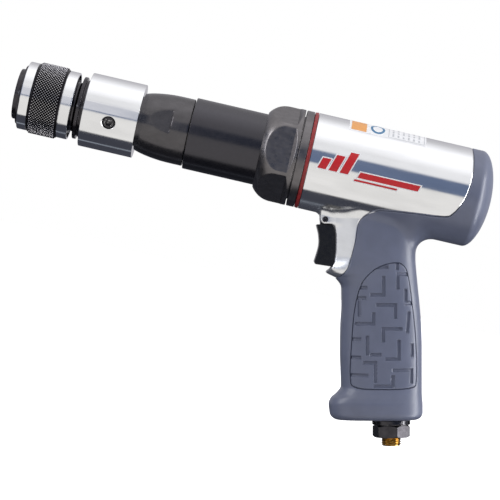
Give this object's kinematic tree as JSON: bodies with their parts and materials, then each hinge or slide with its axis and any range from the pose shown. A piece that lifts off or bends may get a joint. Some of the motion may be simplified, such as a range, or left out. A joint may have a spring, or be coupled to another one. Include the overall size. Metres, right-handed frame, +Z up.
{
  "type": "pneumatic rivet gun",
  "caption": "Pistol-grip pneumatic hammer for driving rivets: sprung barrel with quick-change retainer sleeve, hex barrel nut, polished motor housing, trigger and moulded grip with air inlet.",
  "frame": {"origin": "middle of the hand grip, on the plane of symmetry, 94 mm below the barrel's axis", "axes": "-X along the barrel towards the nose, +Z up from the grip to the barrel, XZ is the plane of symmetry; the grip leans 13 degrees back from a square to the barrel"},
  "size_m": [0.3055, 0.0616, 0.1953],
  "materials": {
    "polished_alloy": "mirror polished",
    "gunmetal": "dark satin",
    "black_steel": "black oxide, satin",
    "machined_steel": "machined",
    "spring_steel": "bright drawn wire",
    "grey_moulding": "fine satin, soft touch",
    "black_moulding": "satin",
    "black_rubber": "matt",
    "red_seal": "satin",
    "brass": "turned"
  },
  "bodies": {
    "handle": {"motor_housing": "polished_alloy", "grip_cover": "grey_moulding", "grip_panel_left": "grey_moulding", "grip_panel_right": "grey_moulding", "trigger_pin": "black_steel", "throttle_bushing": "brass", "bushing_seal": "black_rubber", "throttle_spring": "spring_steel", "inlet_bushing": "black_steel", "inlet_seal": "black_rubber", "inlet_screen": "machined_steel", "inlet_nipple": "brass", "barrel_nut": "black_steel", "lock_ring": "black_steel", "gasket_ring": "red_seal", "barrel_jacket": "gunmetal", "front_bumper": "black_rubber", "isolator_spring": "spring_steel"},
    "barrel": {"barrel": "gunmetal", "barrel_seal": "black_rubber", "valve_seat": "machined_steel", "valve_cap": "machined_steel", "valve_nut": "black_steel", "valve_seal": "black_rubber", "retainer_collar": "polished_alloy", "set_screw": "black_steel", "retainer_body": "black_steel", "nose_ring": "black_steel", "retainer_spring": "spring_steel"},
    "piston": {"piston": "machined_steel"},
    "valve": {"valve_disc": "machined_steel"},
    "release_washer": {"spring_washer": "machined_steel"},
    "release_sleeve": {"retainer_sleeve": "polished_alloy", "knurled_ring": "black_steel", "sleeve_front_ring": "polished_alloy"},
    "latch_ball_1": {"latch_ball_1": "machined_steel"},
    "latch_ball_2": {"latch_ball_2": "machined_steel"},
    "latch_ball_3": {"latch_ball_3": "machined_steel"},
    "latch_ball_4": {"latch_ball_4": "machined_steel"},
    "trigger": {"trigger": "black_moulding"},
    "throttle": {"throttle_stem": "machined_steel", "throttle_valve": "black_rubber"},
    "deflector": {"exhaust_deflector": "black_steel"}
  },
  "joints": [
    {"name": "barrel_recoil", "type": "slide", "parent": "handle", "child": "barrel", "axis": [1, 0, 0], "range_m": [0, 0.003], "stiffness_N_per_m": 15000, "springref_m": -0.003, "deforming": ["isolator_spring"]},
    {"name": "piston_stroke", "type": "slide", "parent": "barrel", "child": "piston", "axis": [-1, 0, 0], "range_m": [0, 0.08]},
    {"name": "valve_shift", "type": "slide", "parent": "barrel", "child": "valve", "axis": [1, 0, 0], "range_m": [0, 0.003]},
    {"name": "release_slide", "type": "slide", "parent": "barrel", "child": "release_washer", "axis": [1, 0, 0], "range_m": [0, 0.007], "stiffness_N_per_m": 1500, "springref_m": -0.005, "deforming": ["retainer_spring"]},
    {"name": "sleeve_spin", "type": "hinge", "parent": "release_washer", "child": "release_sleeve", "pos_m": [-0.2365, 0, 0.094], "axis": [1, 0, 0], "continuous": true},
    {"name": "latch_ball_1_slide", "type": "slide", "parent": "barrel", "child": "latch_ball_1", "axis": [0, 0, 1], "range_m": [0, 0.00145]},
    {"name": "latch_ball_2_slide", "type": "slide", "parent": "barrel", "child": "latch_ball_2", "axis": [0, 1, 0], "range_m": [0, 0.00145]},
    {"name": "latch_ball_3_slide", "type": "slide", "parent": "barrel", "child": "latch_ball_3", "axis": [0, 0, -1], "range_m": [0, 0.00145]},
    {"name": "latch_ball_4_slide", "type": "slide", "parent": "barrel", "child": "latch_ball_4", "axis": [0, -1, 0], "range_m": [0, 0.00145]},
    {"name": "trigger_squeeze", "type": "hinge", "parent": "handle", "child": "trigger", "pos_m": [-0.05041, 0, 0.0601], "axis": [0, -1, 0], "range_deg": [0, 12], "stiffness_Nm_per_rad": 0.9, "springref_deg": -9.74},
    {"name": "throttle_slide", "type": "slide", "parent": "handle", "child": "throttle", "axis": [0.9744, 0, 0.225], "range_m": [0, 0.0037], "deforming": ["throttle_spring"]},
    {"name": "deflector_turn", "type": "hinge", "parent": "handle", "child": "deflector", "pos_m": [0.01912, 0, -0.0548], "axis": [0.225, 0, -0.9744], "continuous": true}
  ],
  "couplings": [
    {"joint": "throttle_slide", "follows": "trigger_squeeze", "m_per_rad": 0.0175},
    {"joint": "latch_ball_1_slide", "follows": "release_slide", "ratio": 0.2},
    {"joint": "latch_ball_2_slide", "follows": "release_slide", "ratio": 0.2},
    {"joint": "latch_ball_3_slide", "follows": "release_slide", "ratio": 0.2},
    {"joint": "latch_ball_4_slide", "follows": "release_slide", "ratio": 0.2}
  ]
}
